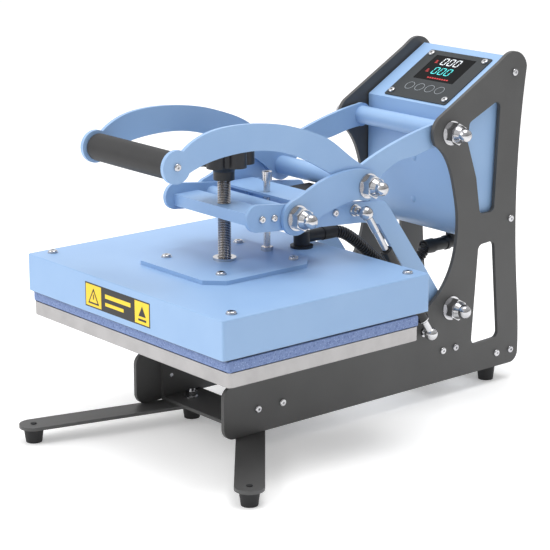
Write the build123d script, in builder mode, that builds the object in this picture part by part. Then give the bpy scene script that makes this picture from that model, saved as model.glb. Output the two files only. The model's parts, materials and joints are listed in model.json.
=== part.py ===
"""Swing-open clamshell heat press, modelled as the pieces it comes apart into.

Millimetres. The origin is the centre of the lower pad's working face, +Z is up, -Y is the
operator's side and +X is the operator's right. Closed and locked is the rest position.
"""

from build123d import *
from math import cos, hypot, radians, sin
import os

os.makedirs("parts", exist_ok=True)


def save(part, name):
    """Label one finished piece and write it to its own file."""
    part.label = name
    export_step(part, f"parts/{name}.step")


# ---------------------------------------------------------------- driving dimensions
PLATEN_W = 380.0  # lower plate and pad, across
PLATEN_D = 280.0  # lower plate and pad, front to back
PAD_T = 13.0
PLATE_T = 17.0
PLATE_BOTTOM = -PAD_T - PLATE_T

COVER_W = 378.0  # heater cover
COVER_D = 304.0
COVER_Y = 5.0  # the heater sits a little further back than the pad
COVER_BOTTOM = 2.0
COVER_TOP = 47.0
COVER_WALL = 1.5
MOUNT_TOP = 52.0  # top of the mounting plate bolted on the cover

SIDE_IN = 82.5  # frame side plates
SIDE_OUT = 87.5
BLADE_IN = 74.0  # lever plates and arm plates share one plane
BLADE_OUT = 79.0
LINK_IN = 79.5  # toggle links run just outside them
LINK_OUT = 84.5
SPRING_X = 100.0  # gas spring, outside everything on the operator's right
SIDES = {"left": -1, "right": 1}

FLOOR = -157.0
BASE = -135.0  # underside of the side plates
BEAM_TOP = -71.0
SHEET = 4.0  # folded channels between the side plates

# pivots, as (y, z)
TOP_PIVOT = (288.0, 180.0)  # lever on frame
KNEE_PIVOT = (155.0, 133.0)  # lever to toggle link
LINK_PIVOT = (45.0, 111.0)  # toggle link to arm
REAR_PIVOT = (294.0, -42.0)  # arm on frame
SPRING_LOW = (248.0, -64.0)  # gas spring ball on the frame
SPRING_HIGH = (138.0, 105.0)  # gas spring ball on the arm

AXLE_R = 8.0  # M16 axles
FIXED_BORE_R = 8.05
RUNNING_BORE_R = 8.3
TUBE_R = 11.5
WASHER_R = 15.0
WASHER_T = 1.8
NUT_GRIP = 17.0  # how far an axle reaches into its acorn nut
SCREW_R = 2.5  # M5 button-head screws
SCREW_HOLE_R = 2.6
SCREW_HEAD_R = 4.6
SCREW_HEAD_T = 2.6
SCREW_LENGTH = 9.0
STUD_R = 4.0  # ball studs of the gas spring


# ---------------------------------------------------------------- placing helpers
def standing(side, inner, outer):
    """Plane on the low-x face of an upright plate between x = inner and x = outer."""
    return Plane.YZ.offset(inner if side > 0 else -outer)


def facing_out(side, x, spot):
    """Place at x on one side whose own Z axis points away from the centre line."""
    return Location((side * x, spot[0], spot[1]), (0, 90 * side, 0))


def across(spot):
    """Place on the centre line at (y, z) whose own Z axis runs across the machine."""
    return Location((0, spot[0], spot[1]), (0, 90, 0))


# ---------------------------------------------------------------- fasteners used all over
with BuildPart() as button_screw:
    # head underside at z = 0, shank downwards, hexagon socket in the head
    Cylinder(SCREW_R, SCREW_LENGTH, align=(Align.CENTER, Align.CENTER, Align.MAX))
    Cylinder(SCREW_HEAD_R, SCREW_HEAD_T, align=(Align.CENTER, Align.CENTER, Align.MIN))
    fillet(button_screw.edges().group_by(Axis.Z)[-1], 1.7)
    with BuildSketch(Plane.XY.offset(SCREW_HEAD_T)):
        RegularPolygon(radius=1.7, side_count=6)
    extrude(amount=-1.5, mode=Mode.SUBTRACT)

with BuildPart() as pan_screw:
    # broad low head on its own washer, for the head's sheet metal
    Cylinder(SCREW_R, SCREW_LENGTH, align=(Align.CENTER, Align.CENTER, Align.MAX))
    Cylinder(6.4, 0.8, align=(Align.CENTER, Align.CENTER, Align.MIN))
    with Locations((0, 0, 0.8)):
        Cylinder(5.6, 2.6, align=(Align.CENTER, Align.CENTER, Align.MIN))
    fillet(pan_screw.edges().group_by(Axis.Z)[-1], 1.8)
    with BuildSketch(Plane.XY.offset(3.4)):
        RegularPolygon(radius=2.0, side_count=6)
    extrude(amount=-1.8, mode=Mode.SUBTRACT)

with BuildPart() as acorn_nut:
    # seat at z = 0, long dome upwards
    with BuildSketch():
        RegularPolygon(radius=13.6, side_count=6)
    extrude(amount=12)
    with Locations((0, 0, 12)):
        Cylinder(11.2, 1.2, align=(Align.CENTER, Align.CENTER, Align.MIN))
    with Locations((0, 0, 13.2)):
        Cone(11.2, 8.6, 6, align=(Align.CENTER, Align.CENTER, Align.MIN))
    with Locations((0, 0, 19.2)):
        Cylinder(8.6, 10.4, align=(Align.CENTER, Align.CENTER, Align.MIN))
    fillet(acorn_nut.edges().group_by(Axis.Z)[-1], 8.0)
    Cylinder(FIXED_BORE_R, 18, align=(Align.CENTER, Align.CENTER, Align.MIN), mode=Mode.SUBTRACT)

with BuildPart() as big_washer:
    with BuildSketch():
        Circle(WASHER_R)
        Circle(FIXED_BORE_R, mode=Mode.SUBTRACT)
    extrude(amount=WASHER_T)



def hexagon_nut(radius, height):
    """Plain hexagon, seat at z = 0, to be added where a nut or a bolt head goes."""
    with BuildPart() as nut:
        with BuildSketch():
            RegularPolygon(radius=radius, side_count=6)
        extrude(amount=height)
    return nut.part


M8_NUT = hexagon_nut(7.4, 8.0)
GUIDE_NUT = hexagon_nut(7.4, 5.0)
STUD_NUT = hexagon_nut(7.0, 6.5)
KEY_SOCKET = hexagon_nut(3.6, 6.0)

with BuildPart() as hex_bolt:
    # M8, head underside at z = 0, shank downwards
    with BuildSketch():
        RegularPolygon(radius=7.4, side_count=6)
    extrude(amount=5)
    Cylinder(4, 14, align=(Align.CENTER, Align.CENTER, Align.MAX))


# ---------------------------------------------------------------- frame side plates
FRONT_SCREWS = [(-17.0, -106.0), (20.0, -106.0)]
MIDDLE_SCREWS = [(281.0, -95.0), (303.0, -95.0)]
BACK_SCREWS = [(377.0, -117.0), (402.0, -117.0)]
BOX_SCREWS = [(396.0, 57.0), (396.0, 243.0)]
CHANNEL_SCREWS = FRONT_SCREWS + MIDDLE_SCREWS + BACK_SCREWS

COLUMN_FRONT = [
    (215, BEAM_TOP), (237.5, -48), (259, -31), (274, -19), (284, -7), (296, 16.5), (302, 43.6),
    (302.7, 75), (296.5, 108), (287, 138), (274.6, 157.4), (262.5, 167),
]  # fmt: skip
COLUMN_BACK = [(418, 249), (410, 181), (405.5, 79), (409.5, -13), (416, -95), (416, -121)]
UPPER_WINDOW = [(372.8, 213), (366, 70.5), (341, 70.5), (333, 118), (316, 167), (319.5, 189)]
LOWER_WINDOW = [(368, 33), (379.5, -96), (330.5, -98), (340, 31)]


def side_plate(side, name):
    """One tall side plate: a low beam in front and a windowed column behind."""
    with BuildPart() as plate:
        with BuildSketch(standing(side, SIDE_IN, SIDE_OUT)):
            with BuildLine():
                Spline(*COLUMN_FRONT)
                ThreePointArc((262.5, 167), (258, 183), (268.3, 200.6))
                Polyline((268.3, 200.6), (369.5, 258), (381.5, 266))
                ThreePointArc((381.5, 266), (404, 267), (418, 249))
                Spline(*COLUMN_BACK)
                ThreePointArc((416, -121), (411.9, -130.9), (402, BASE))
                Line((402, BASE), (-53, BASE))
                ThreePointArc((-53, BASE), (-62.9, -130.9), (-67, -121))
                Line((-67, -121), (-67, -85))
                ThreePointArc((-67, -85), (-62.9, -75.1), (-53, BEAM_TOP))
                Line((-53, BEAM_TOP), (215, BEAM_TOP))
            make_face()
            for window, corner_r in ((UPPER_WINDOW, 7), (LOWER_WINDOW, 8)):
                with BuildLine(mode=Mode.PRIVATE) as rim:
                    FilletPolyline(*window, radius=corner_r, close=True)
                make_face(rim.edges(), mode=Mode.SUBTRACT)
            with Locations(CHANNEL_SCREWS + BOX_SCREWS):
                Circle(SCREW_HOLE_R, mode=Mode.SUBTRACT)
            with Locations(TOP_PIVOT, REAR_PIVOT):
                Circle(FIXED_BORE_R, mode=Mode.SUBTRACT)
            if side > 0:
                with Locations(SPRING_LOW):
                    Circle(STUD_R + 0.05, mode=Mode.SUBTRACT)
        extrude(amount=SIDE_OUT - SIDE_IN)
    save(plate.part, name)


for label, side in SIDES.items():
    side_plate(side, f"side_plate_{label}")


# ---------------------------------------------------------------- channels joining the side plates
def screw_holes(spots):
    """Clearance holes from both sides for screws that enter a channel between the plates."""
    with Locations(*[across(spot) for spot in spots]):
        Cylinder(SCREW_HOLE_R, 2 * SIDE_OUT, mode=Mode.SUBTRACT)


def cross_channel(name, y_front, y_back, floor, top, screws, floor_holes=()):
    """Folded channel: a floor between two upright flanges bolted to the side plates."""
    with BuildPart() as channel:
        with BuildSketch(Plane.XZ.offset(-y_back)):
            with BuildLine():
                Polyline(
                    (-SIDE_IN, top), (-SIDE_IN, floor), (SIDE_IN, floor), (SIDE_IN, top),
                    (SIDE_IN - SHEET, top), (SIDE_IN - SHEET, floor + SHEET),
                    (-SIDE_IN + SHEET, floor + SHEET), (-SIDE_IN + SHEET, top), close=True,
                )  # fmt: skip
            make_face()
        extrude(amount=y_back - y_front)
        screw_holes(screws)
        for x, y in floor_holes:
            with Locations((x, y, floor)):
                Cylinder(4.1, 3 * SHEET, mode=Mode.SUBTRACT)
    save(channel.part, name)


LEG_PIVOTS = {"left": (-57.0, -3.0), "right": (57.0, -3.0)}
REAR_FEET = [(-67.0, 380.0), (67.0, 380.0)]
cross_channel("front_channel", -30, 27, BASE, -84, FRONT_SCREWS, LEG_PIVOTS.values())
cross_channel("middle_crossmember", 268, 316, -111, -80, MIDDLE_SCREWS)
cross_channel("rear_crossmember", 362, 408, BASE, -103, BACK_SCREWS, REAR_FEET)

# ---------------------------------------------------------------- lower plate, its supports and the pad
SUPPORT_BANDS = [(-60.0, -20.0), (60.0, 100.0)]
SUPPORT_TOP_T = 5.0
PLATE_BOLTS = [(x, y) for x in (-60.0, 60.0) for y in (-40.0, 80.0)]

with BuildPart() as platen_supports:
    # two bridges standing on the beams of the side plates
    for y_front, y_back in SUPPORT_BANDS:
        with Locations((0, (y_front + y_back) / 2, PLATE_BOTTOM)):
            Box(2 * SIDE_OUT, y_back - y_front, SUPPORT_TOP_T, align=(Align.CENTER, Align.CENTER, Align.MAX))
        for side in SIDES.values():
            with Locations((side * (SIDE_IN + SIDE_OUT) / 2, (y_front + y_back) / 2, BEAM_TOP)):
                Box(
                    SIDE_OUT - SIDE_IN, y_back - y_front, PLATE_BOTTOM - BEAM_TOP - SUPPORT_TOP_T,
                    align=(Align.CENTER, Align.CENTER, Align.MIN),
                )  # fmt: skip
    with Locations([(x, y, PLATE_BOTTOM) for x, y in PLATE_BOLTS]):
        Cylinder(4.1, 3 * SUPPORT_TOP_T, mode=Mode.SUBTRACT)
save(platen_supports.part, "platen_supports")

with BuildPart() as lower_platen:
    with BuildSketch(Plane.XY.offset(PLATE_BOTTOM)):
        RectangleRounded(PLATEN_W, PLATEN_D, 6)
    extrude(amount=PLATE_T)
    with Locations([(x, y, PLATE_BOTTOM) for x, y in PLATE_BOLTS]):
        Cylinder(4.1, 10, align=(Align.CENTER, Align.CENTER, Align.MIN), mode=Mode.SUBTRACT)
    chamfer(lower_platen.faces().sort_by(Axis.Z)[0].outer_wire().edges(), 0.8)
save(lower_platen.part, "lower_platen")

with BuildPart() as silicone_pad:
    with BuildSketch(Plane.XY.offset(-PAD_T)):
        RectangleRounded(PLATEN_W, PLATEN_D, 6)
    extrude(amount=PAD_T)
    fillet(silicone_pad.faces().sort_by(Axis.Z)[-1].outer_wire().edges(), 1.5)
save(silicone_pad.part, "silicone_pad")

# ---------------------------------------------------------------- feet, legs and their bolts
LEG_TOP = BASE - 0.3
LEG_T = 4.0
LEG_BOTTOM = LEG_TOP - LEG_T
LEG_LENGTH = 202.0
LEG_W = 34.0
LEG_SPLAY = {"left": -14.5, "right": 50.5}  # degrees from straight ahead, outwards


def foot(top):
    """Tapered rubber foot from a height down to the floor, with a recess under it."""
    Cone(9.6, 12.0, top - FLOOR, align=(Align.CENTER, Align.CENTER, Align.MAX))


with BuildPart() as base_feet:
    # under the two leg pivots and under the rear channel
    with Locations([(x, y, LEG_BOTTOM - 0.3) for x, y in LEG_PIVOTS.values()]):
        foot(LEG_BOTTOM - 0.3)
        Cylinder(4.1, 14, align=(Align.CENTER, Align.CENTER, Align.MAX), mode=Mode.SUBTRACT)
    with Locations([(x, y, BASE) for x, y in REAR_FEET]):
        foot(BASE)
        Cylinder(4.1, 14, align=(Align.CENTER, Align.CENTER, Align.MAX), mode=Mode.SUBTRACT)
save(base_feet.part, "base_feet")

with BuildPart() as base_bolts:
    # leg pivots and rear feet from above, lower plate from below
    pivot_and_foot = [(x, y, BASE + SHEET) for x, y in list(LEG_PIVOTS.values()) + REAR_FEET]
    with Locations(pivot_and_foot):
        Cylinder(4, 17, align=(Align.CENTER, Align.CENTER, Align.MAX))
        Cylinder(8.5, 1.5, align=(Align.CENTER, Align.CENTER, Align.MIN))
        add(M8_NUT)
        Cylinder(4, 11, align=(Align.CENTER, Align.CENTER, Align.MIN))
    for x, y in PLATE_BOLTS:
        with Locations(Location((x, y, PLATE_BOTTOM - SUPPORT_TOP_T), (180, 0, 0))):
            add(hex_bolt.part)
save(base_bolts.part, "base_bolts")

for label, (pivot_x, pivot_y) in LEG_PIVOTS.items():
    angle = radians(LEG_SPLAY[label])
    tip = (pivot_x + LEG_LENGTH * sin(angle), pivot_y - LEG_LENGTH * cos(angle))
    with BuildPart() as leg:
        with BuildSketch(Plane.XY.offset(LEG_BOTTOM)):
            with Locations(Location(((pivot_x + tip[0]) / 2, (pivot_y + tip[1]) / 2), LEG_SPLAY[label] - 90)):
                SlotCenterToCenter(LEG_LENGTH, LEG_W)
            with Locations((pivot_x, pivot_y)):
                Circle(4.3, mode=Mode.SUBTRACT)
            with Locations(tip):
                Circle(3.05, mode=Mode.SUBTRACT)
        extrude(amount=LEG_T)
    save(leg.part, f"leg_{label}")
    with BuildPart() as leg_foot:
        with Locations((tip[0], tip[1], LEG_BOTTOM)):
            foot(LEG_BOTTOM)
            Cylinder(3, 5, align=(Align.CENTER, Align.CENTER, Align.MIN))
        with Locations((tip[0], tip[1], LEG_TOP)):
            Cylinder(3.6, 0.8, align=(Align.CENTER, Align.CENTER, Align.MIN))
    save(leg_foot.part, f"leg_foot_{label}")

# ---------------------------------------------------------------- fixed axles and their nuts
OUTER_WASHER = SIDE_OUT + WASHER_T


def axle(name, spot, outer_face):
    """Plain axle right across the machine, ending inside an acorn nut on each side."""
    with BuildPart() as bar:
        with Locations(across(spot)):
            Cylinder(AXLE_R, 2 * (outer_face + NUT_GRIP))
    save(bar.part, name)


axle("axle_top", TOP_PIVOT, OUTER_WASHER)
axle("axle_rear", REAR_PIVOT, OUTER_WASHER)

with BuildPart() as axle_nuts:
    # acorn nuts and washers outside, spacer rings between side plate and moving plate
    for side in SIDES.values():
        for spot in (TOP_PIVOT, REAR_PIVOT):
            with Locations(facing_out(side, SIDE_OUT, spot)):
                add(big_washer.part)
            with Locations(facing_out(side, OUTER_WASHER, spot)):
                add(acorn_nut.part)
            with BuildSketch(standing(side, BLADE_OUT + 0.3, SIDE_IN)):
                with Locations(spot):
                    Circle(12)
                    Circle(FIXED_BORE_R, mode=Mode.SUBTRACT)
            extrude(amount=SIDE_IN - BLADE_OUT - 0.3)
save(axle_nuts.part, "axle_nuts")

# ---------------------------------------------------------------- control box
BOX_HALF = 80.0
BOX_SHEET = 2.0
BOX_FRONT = 305.0
BOX_BACK = 402.0
BOX_BOTTOM = 36.0
PANEL_START = (308.7, 206.7)  # a point of the sloping top
PANEL_SLOPE = radians(30.0)


def panel_height(y):
    """Height of the sloping top of the control box."""
    return PANEL_START[1] + (y - PANEL_START[0]) * sin(PANEL_SLOPE) / cos(PANEL_SLOPE)


def panel_plane(lift=0.0):
    """Plane on the sloping top, local Y running up the slope, lifted along its normal."""
    normal = (0, -sin(PANEL_SLOPE), cos(PANEL_SLOPE))
    return Plane(origin=(0, *PANEL_START), x_dir=(1, 0, 0), z_dir=normal).offset(lift)


def box_profile(inset, back):
    """Outline of the control box seen from its side, drawn in by a distance."""
    belly = 45.0 - inset
    top_lift = inset / cos(PANEL_SLOPE)
    front = BOX_FRONT + inset
    bottom = BOX_BOTTOM + inset
    turn = (BOX_FRONT + 45.0 - belly * cos(radians(45)), BOX_BOTTOM + 45.0 - belly * sin(radians(45)))
    Line((front, panel_height(front) - top_lift), (front, BOX_BOTTOM + 45.0))
    ThreePointArc((front, BOX_BOTTOM + 45.0), turn, (BOX_FRONT + 45.0, bottom))
    Polyline(
        (BOX_FRONT + 45.0, bottom),
        (back, bottom),
        (back, panel_height(back) - top_lift),
        (front, panel_height(front) - top_lift),
    )


DISPLAY_W = 71.0
DISPLAY_D = 49.0
DISPLAY_AT = (-1.5, 62.5)  # centre, in the panel's own axes
OVERLAY_W = 110.0
OVERLAY_D = 95.6
OVERLAY_T = 1.2
OVERLAY_SCREWS = [(x, y) for x in (-47.5, 47.5) for y in (8.0, 88.0)]
GLAND_Y = 380.0
GLAND_Z = 13.0
RIVETS = [(5.0, 134.0), (5.0, 81.0)]  # on the front wall, as (x, z)
INLET_AT = (-30.0, 90.0)  # mains inlet in the back panel, as (x, z)

with BuildPart() as control_box_shell:
    with BuildSketch(Plane.YZ.offset(-BOX_HALF)):
        with BuildLine():
            box_profile(0, BOX_BACK)
        make_face()
    extrude(amount=2 * BOX_HALF)
    with BuildSketch(Plane.YZ.offset(-BOX_HALF + BOX_SHEET)):
        with BuildLine():
            box_profile(BOX_SHEET, BOX_BACK + 5)
        make_face()
    extrude(amount=2 * (BOX_HALF - BOX_SHEET), mode=Mode.SUBTRACT)
    with BuildSketch(panel_plane(-5)):
        with Locations(DISPLAY_AT):
            Rectangle(DISPLAY_W, DISPLAY_D)
        with Locations(OVERLAY_SCREWS):
            Circle(SCREW_HOLE_R)
    extrude(amount=10, mode=Mode.SUBTRACT)
    with Locations((0, GLAND_Y, BOX_BOTTOM)):
        Cylinder(8.1, 10, mode=Mode.SUBTRACT)
    screw_holes(BOX_SCREWS)
save(control_box_shell.part, "control_box_shell")

with BuildPart() as control_box_back:
    # set between the side walls, the inlet let into it
    back_top = panel_height(BOX_BACK - BOX_SHEET) - BOX_SHEET / cos(PANEL_SLOPE) - 0.1
    with BuildSketch(Plane.XZ.offset(-BOX_BACK)):
        with Locations((0, (BOX_BOTTOM + BOX_SHEET + back_top) / 2)):
            Rectangle(2 * (BOX_HALF - BOX_SHEET), back_top - BOX_BOTTOM - BOX_SHEET)
        with Locations(INLET_AT):
            Rectangle(50, 28, mode=Mode.SUBTRACT)
        with Locations([(x, 200) for x in range(-50, 51, 10)]):
            SlotOverall(30, 3, rotation=90, mode=Mode.SUBTRACT)
    extrude(amount=BOX_SHEET)
save(control_box_back.part, "control_box_back")

with BuildPart() as control_overlay:
    with BuildSketch(panel_plane()):
        with Locations((0, OVERLAY_D / 2)):
            RectangleRounded(OVERLAY_W, OVERLAY_D, 3)
        with Locations(DISPLAY_AT):
            Rectangle(DISPLAY_W, DISPLAY_D, mode=Mode.SUBTRACT)
        with Locations(OVERLAY_SCREWS):
            Circle(SCREW_HOLE_R, mode=Mode.SUBTRACT)
    extrude(amount=OVERLAY_T)
save(control_overlay.part, "control_overlay")

with BuildPart() as display_window:
    with BuildSketch(panel_plane(-10)):
        with Locations(DISPLAY_AT):
            Rectangle(DISPLAY_W - 0.1, DISPLAY_D - 0.1)
    extrude(amount=10 + OVERLAY_T - 0.2)
save(display_window.part, "display_window")

BOARD_DEPTH = -10.0  # underneath the display
with BuildPart() as controller_board:
    with BuildSketch(panel_plane(BOARD_DEPTH - 1.6)):
        with Locations((0, 50)):
            Rectangle(100, 74)
    extrude(amount=1.6)
    with BuildSketch(panel_plane(BOARD_DEPTH)):
        with Locations([(-43, 28), (43, 28), (-43, 76), (43, 76)]):
            Circle(3)
    extrude(amount=-BOARD_DEPTH - BOX_SHEET)
    with BuildSketch(panel_plane(BOARD_DEPTH - 1.6)):
        with Locations((-25, 50)):
            Rectangle(34, 40)
        with Locations((22, 60)):
            Rectangle(20, 26)
    extrude(amount=-14)
save(controller_board.part, "controller_board")

with BuildPart() as heater_relay:
    # solid-state relay on a finned plate, standing on the floor of the box
    with Locations((50, 376, BOX_BOTTOM + BOX_SHEET)):
        Box(44, 44, 4, align=(Align.CENTER, Align.CENTER, Align.MIN))
    with Locations([(x, 376, BOX_BOTTOM + BOX_SHEET + 4) for x in (32, 41, 50, 59, 68)]):
        Box(2.5, 44, 18, align=(Align.CENTER, Align.CENTER, Align.MIN))
    with Locations((50, 376, BOX_BOTTOM + BOX_SHEET + 22)):
        Box(44, 44, 3, align=(Align.CENTER, Align.CENTER, Align.MIN))
        Box(40, 38, 24, align=(Align.CENTER, Align.CENTER, Align.MIN))
save(heater_relay.part, "heater_relay")

# ---------------------------------------------------------------- mains inlet with its rocker switch
inlet_x, inlet_z = INLET_AT
ROCKER_AT = (inlet_x + 15.0, inlet_z)
ROCKER_PIVOT_Y = BOX_BACK - 1.0
INLET_FACE = BOX_BACK + 2.5

with BuildPart() as power_inlet:
    with Locations((inlet_x, INLET_FACE, inlet_z)):
        Box(66, 2.5, 32, align=(Align.CENTER, Align.MAX, Align.CENTER))
    with Locations((inlet_x, BOX_BACK, inlet_z)):
        Box(49.8, 26, 27.8, align=(Align.CENTER, Align.MAX, Align.CENTER))
    with Locations((inlet_x - 10, INLET_FACE, inlet_z)):
        Box(24, 17, 16, align=(Align.CENTER, Align.MAX, Align.CENTER), mode=Mode.SUBTRACT)
    with Locations((ROCKER_AT[0], INLET_FACE, inlet_z)):
        Box(10.8, 14, 22, align=(Align.CENTER, Align.MAX, Align.CENTER), mode=Mode.SUBTRACT)
    with Locations(Location((ROCKER_AT[0], ROCKER_PIVOT_Y, inlet_z), (0, 90, 0))):
        Cylinder(1.5, 13.8, mode=Mode.SUBTRACT)
    for blade_x, blade_z in ((-17, -3), (-3, -3), (-10, 3)):
        with Locations((inlet_x + blade_x, INLET_FACE - 17, inlet_z + blade_z)):
            Box(2, 8, 4, align=(Align.CENTER, Align.MIN, Align.CENTER))
save(power_inlet.part, "power_inlet")

with BuildPart() as power_rocker:
    # pivot pins at both ends, top half pressed in
    with BuildSketch(Plane.YZ.offset(ROCKER_AT[0] - 5)):
        with Locations(Location((ROCKER_PIVOT_Y, inlet_z), -8)):
            Polygon((-6, -4), (-6, 4), (3, 8.6), (7, 8.6), (5.4, 0), (7, -8.6), (3, -8.6), align=None)
    extrude(amount=10)
    with Locations(Location((ROCKER_AT[0], ROCKER_PIVOT_Y, inlet_z), (0, 90, 0))):
        Cylinder(1.2, 13.2)
save(power_rocker.part, "power_rocker")

# ---------------------------------------------------------------- screws of the frame
with BuildPart() as frame_screws:
    # side plates to channels, control box on spacers, overlay to box
    for side in SIDES.values():
        with Locations(*[facing_out(side, SIDE_OUT, spot) for spot in CHANNEL_SCREWS + BOX_SCREWS]):
            add(button_screw.part)
        with BuildSketch(standing(side, BOX_HALF, SIDE_IN)):
            with Locations(BOX_SCREWS):
                Circle(5)
                Circle(SCREW_HOLE_R, mode=Mode.SUBTRACT)
        extrude(amount=SIDE_IN - BOX_HALF)
    for x, y in OVERLAY_SCREWS:
        with Locations(panel_plane(OVERLAY_T).location * Location((x, y, 0))):
            add(button_screw.part)
save(frame_screws.part, "frame_screws")

# ---------------------------------------------------------------- cable gland under the control box
HOSE_R = 7.0
HOSE_END = 334.0

with BuildPart() as hose_gland:
    with BuildSketch(Plane.YZ):
        with BuildLine():
            Polyline(
                (330, 0), (330, 9.0), (345, 9.6), (346, 8.2), (366, 8.2), (367, 9.4), (372, 9.4),
                (373, 8.0), (GLAND_Y, 8.0), (GLAND_Y, 0), close=True,
            )  # fmt: skip
        make_face()
    revolve(axis=Axis.Y)
    with Locations((0, GLAND_Y, 0)):
        Sphere(8.0)
        Cylinder(8.0, BOX_BOTTOM + 8 - GLAND_Z, align=(Align.CENTER, Align.CENTER, Align.MIN))
    with Locations((0, GLAND_Y, BOX_BOTTOM - GLAND_Z - 4)):
        Cylinder(11, 4, align=(Align.CENTER, Align.CENTER, Align.MIN))
    with Locations((0, GLAND_Y, BOX_BOTTOM - GLAND_Z + BOX_SHEET)):
        Cylinder(11, 4, align=(Align.CENTER, Align.CENTER, Align.MIN))
    with Locations(Location((0, 330, 0), (-90, 0, 0))):
        Cylinder(HOSE_R + 0.4, HOSE_END - 330 + 0.5, align=(Align.CENTER, Align.CENTER, Align.MIN), mode=Mode.SUBTRACT)
save(hose_gland.part.moved(Location((0, 0, GLAND_Z))), "hose_gland")

# ---------------------------------------------------------------- gas spring
spring_run = (SPRING_HIGH[0] - SPRING_LOW[0], SPRING_HIGH[1] - SPRING_LOW[1])
SPRING_LENGTH = hypot(*spring_run)
SPRING_DIRECTION = (spring_run[0] / SPRING_LENGTH, spring_run[1] / SPRING_LENGTH)
SPRING_AXIS = Axis((SPRING_X, *SPRING_LOW), (0, *SPRING_DIRECTION))
# drawing plane through the spring: local X outwards, local Y from the low ball to the high one
SPRING_PLANE = Plane(
    origin=(SPRING_X, *SPRING_LOW), x_dir=(1, 0, 0), z_dir=(0, -SPRING_DIRECTION[1], SPRING_DIRECTION[0])
)
SOCKET_R = 8.5
BALL_R = 5.0
BALL_CLEARANCE = 0.35

with BuildPart() as gas_cylinder:
    with BuildSketch(SPRING_PLANE):
        with BuildLine():
            Polyline(
                (0, 0), (4.6, 0), (4.6, 22), (6.6, 24.6), (7.5, 25.6), (7.5, 141.8), (6.5, 142.8),
                (4.3, 142.8), (4.3, 133.0), (6.4, 133.0), (6.4, 36.0), (0, 36.0), close=True,
            )  # fmt: skip
        make_face()
    revolve(axis=SPRING_AXIS)
    with Locations((SPRING_X, *SPRING_LOW)):
        Sphere(SOCKET_R)
        Sphere(BALL_R + BALL_CLEARANCE, mode=Mode.SUBTRACT)
        with Locations(Location((0, 0, 0), (0, -90, 0))):
            Cone(3.4, 6.2, 9, align=(Align.CENTER, Align.CENTER, Align.MIN), mode=Mode.SUBTRACT)
save(gas_cylinder.part, "gas_cylinder")

with BuildPart() as gas_rod:
    with BuildSketch(SPRING_PLANE):
        with BuildLine():
            Polyline(
                (0, 90), (6.0, 90), (6.0, 100), (4.0, 100), (4.0, 172), (4.6, 173),
                (4.6, SPRING_LENGTH), (0, SPRING_LENGTH), close=True,
            )  # fmt: skip
        make_face()
    revolve(axis=SPRING_AXIS)
    with Locations((SPRING_X, *SPRING_HIGH)):
        Sphere(SOCKET_R)
save(gas_rod.part, "gas_rod")

with BuildPart() as spring_stud_lower:
    # through the right side plate, nut inside, ball in the socket of the spring
    with Locations(facing_out(1, SIDE_IN - 9, SPRING_LOW)):
        Cylinder(STUD_R, SIDE_OUT - SIDE_IN + 9, align=(Align.CENTER, Align.CENTER, Align.MIN))
    with Locations(facing_out(1, SIDE_IN - 6.5, SPRING_LOW)):
        add(STUD_NUT)
    with Locations(facing_out(1, SIDE_OUT, SPRING_LOW)):
        Cylinder(6.5, 1.6, align=(Align.CENTER, Align.CENTER, Align.MIN))
        Cylinder(2.8, SPRING_X - SIDE_OUT, align=(Align.CENTER, Align.CENTER, Align.MIN))
    with Locations((SPRING_X, *SPRING_LOW)):
        Sphere(BALL_R)
save(spring_stud_lower.part, "spring_stud_lower")

with BuildPart() as spring_stud_upper:
    # through the right arm plate, nut inside, collar nuts outside up to the spring's socket
    with Locations(facing_out(1, BLADE_IN - 9, SPRING_HIGH)):
        Cylinder(STUD_R, BLADE_OUT - BLADE_IN + 9, align=(Align.CENTER, Align.CENTER, Align.MIN))
    with Locations(facing_out(1, BLADE_IN - 6.5, SPRING_HIGH)):
        Cylinder(7.0, 6.5, align=(Align.CENTER, Align.CENTER, Align.MIN))
    with Locations(facing_out(1, BLADE_OUT, SPRING_HIGH)):
        Cylinder(7.2, 1.6, align=(Align.CENTER, Align.CENTER, Align.MIN))
        Cylinder(6.0, 6.5, align=(Align.CENTER, Align.CENTER, Align.MIN))
        Cylinder(STUD_R, SPRING_X - SOCKET_R - 0.5 - BLADE_OUT, align=(Align.CENTER, Align.CENTER, Align.MIN))
save(spring_stud_upper.part, "spring_stud_upper")

# ---------------------------------------------------------------- arm that carries the heater
ARM_SCREWS = [(-3.0, 115.0), (15.0, 114.0), (108.0, 106.0)]
ARM_OUTLINE = [
    (-9, 101), (69, 94), (151, 88), (178, 82), (203.6, 44.2), (217.6, 23.9), (264, -42), (282, -57),
    (294, -42), (282, -22.5), (254, 17.7), (238.7, 38.4), (197, 97), (187, 109), (170, 111), (-10, 133),
]  # fmt: skip

for label, side in SIDES.items():
    with BuildPart() as arm_plate:
        with BuildSketch(standing(side, BLADE_IN, BLADE_OUT)):
            with BuildLine():
                FilletPolyline(*ARM_OUTLINE, radius=4, close=True)
            make_face()
            with Locations((-9, 117)):
                Circle(16)
            with Locations(REAR_PIVOT):
                Circle(18)
                Circle(RUNNING_BORE_R, mode=Mode.SUBTRACT)
            with Locations(LINK_PIVOT):
                Circle(FIXED_BORE_R, mode=Mode.SUBTRACT)
            with Locations(ARM_SCREWS):
                Circle(SCREW_HOLE_R, mode=Mode.SUBTRACT)
            if side > 0:
                with Locations(SPRING_HIGH):
                    Circle(STUD_R + 0.05, mode=Mode.SUBTRACT)
        extrude(amount=BLADE_OUT - BLADE_IN)
    save(arm_plate.part, f"arm_plate_{label}")

BAR_FRONT = -12.0
BAR_BACK = 24.0
BAR_BOTTOM = 106.0
BAR_TOP = 120.0

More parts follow.
